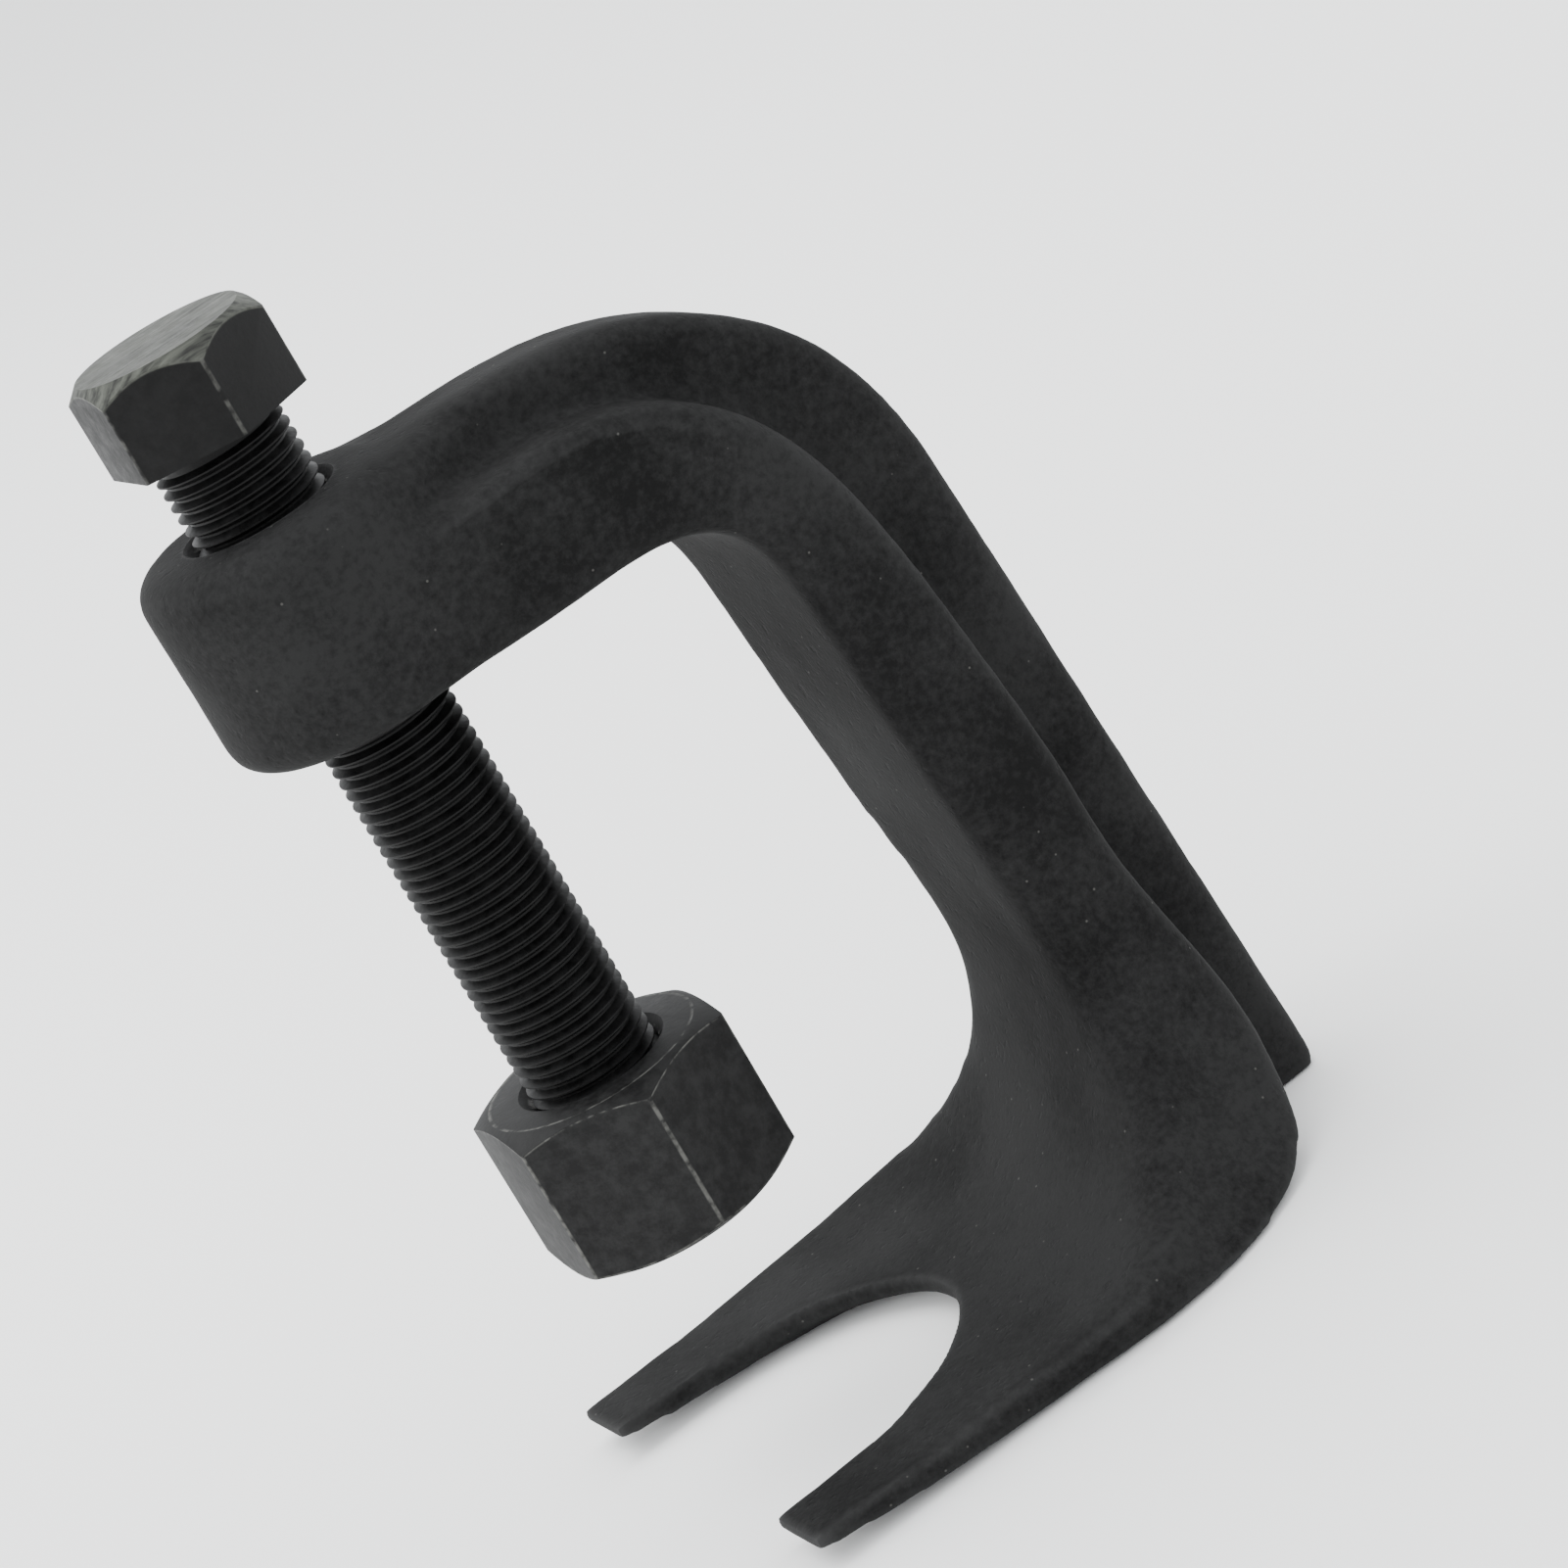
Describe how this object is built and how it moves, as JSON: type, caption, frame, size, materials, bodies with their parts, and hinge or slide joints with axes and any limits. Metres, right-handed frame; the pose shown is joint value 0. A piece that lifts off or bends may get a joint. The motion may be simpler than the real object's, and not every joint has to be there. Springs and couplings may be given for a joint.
{
  "type": "ball joint separator",
  "caption": "Forged C-frame ball joint separator with a slotted fork, a hex-headed forcing screw and a hexagon push nut on its end, all in black oxide.",
  "frame": {"origin": "on the screw's axis, level with the flat underside of the fork", "axes": "+Z along the screw from the fork towards the screw's head, +X from the screw towards the frame's spine, +Y across the fork's two tines"},
  "size_m": [0.0925, 0.0716, 0.148],
  "materials": {
    "forged_black": "satin black oxide on a shot-blasted forging",
    "screw_black": "satin black oxide",
    "ball_steel": "polished hardened steel",
    "nut_black": "satin black oxide"
  },
  "bodies": {
    "frame": {"forged_frame": "forged_black"},
    "thrust_ball": {"thrust_ball": "ball_steel"},
    "screw": {"forcing_screw": "screw_black"},
    "nut": {"push_nut": "nut_black"}
  },
  "joints": [
    {"name": "screw_advance", "type": "slide", "parent": "frame", "child": "thrust_ball", "axis": [0, 0, 1], "range_m": [-0.009, 0.03]},
    {"name": "screw_turn", "type": "hinge", "parent": "thrust_ball", "child": "screw", "pos_m": [0, 0, 0.1], "axis": [0, 0, 1], "range_deg": [-2160, 7200]},
    {"name": "nut_travel", "type": "slide", "parent": "screw", "child": "nut", "axis": [0, 0, 1], "range_m": [-0.006, 0.018]}
  ],
  "couplings": [
    {"joint": "screw_turn", "follows": "screw_advance", "rad_per_m": 4188.8}
  ]
}
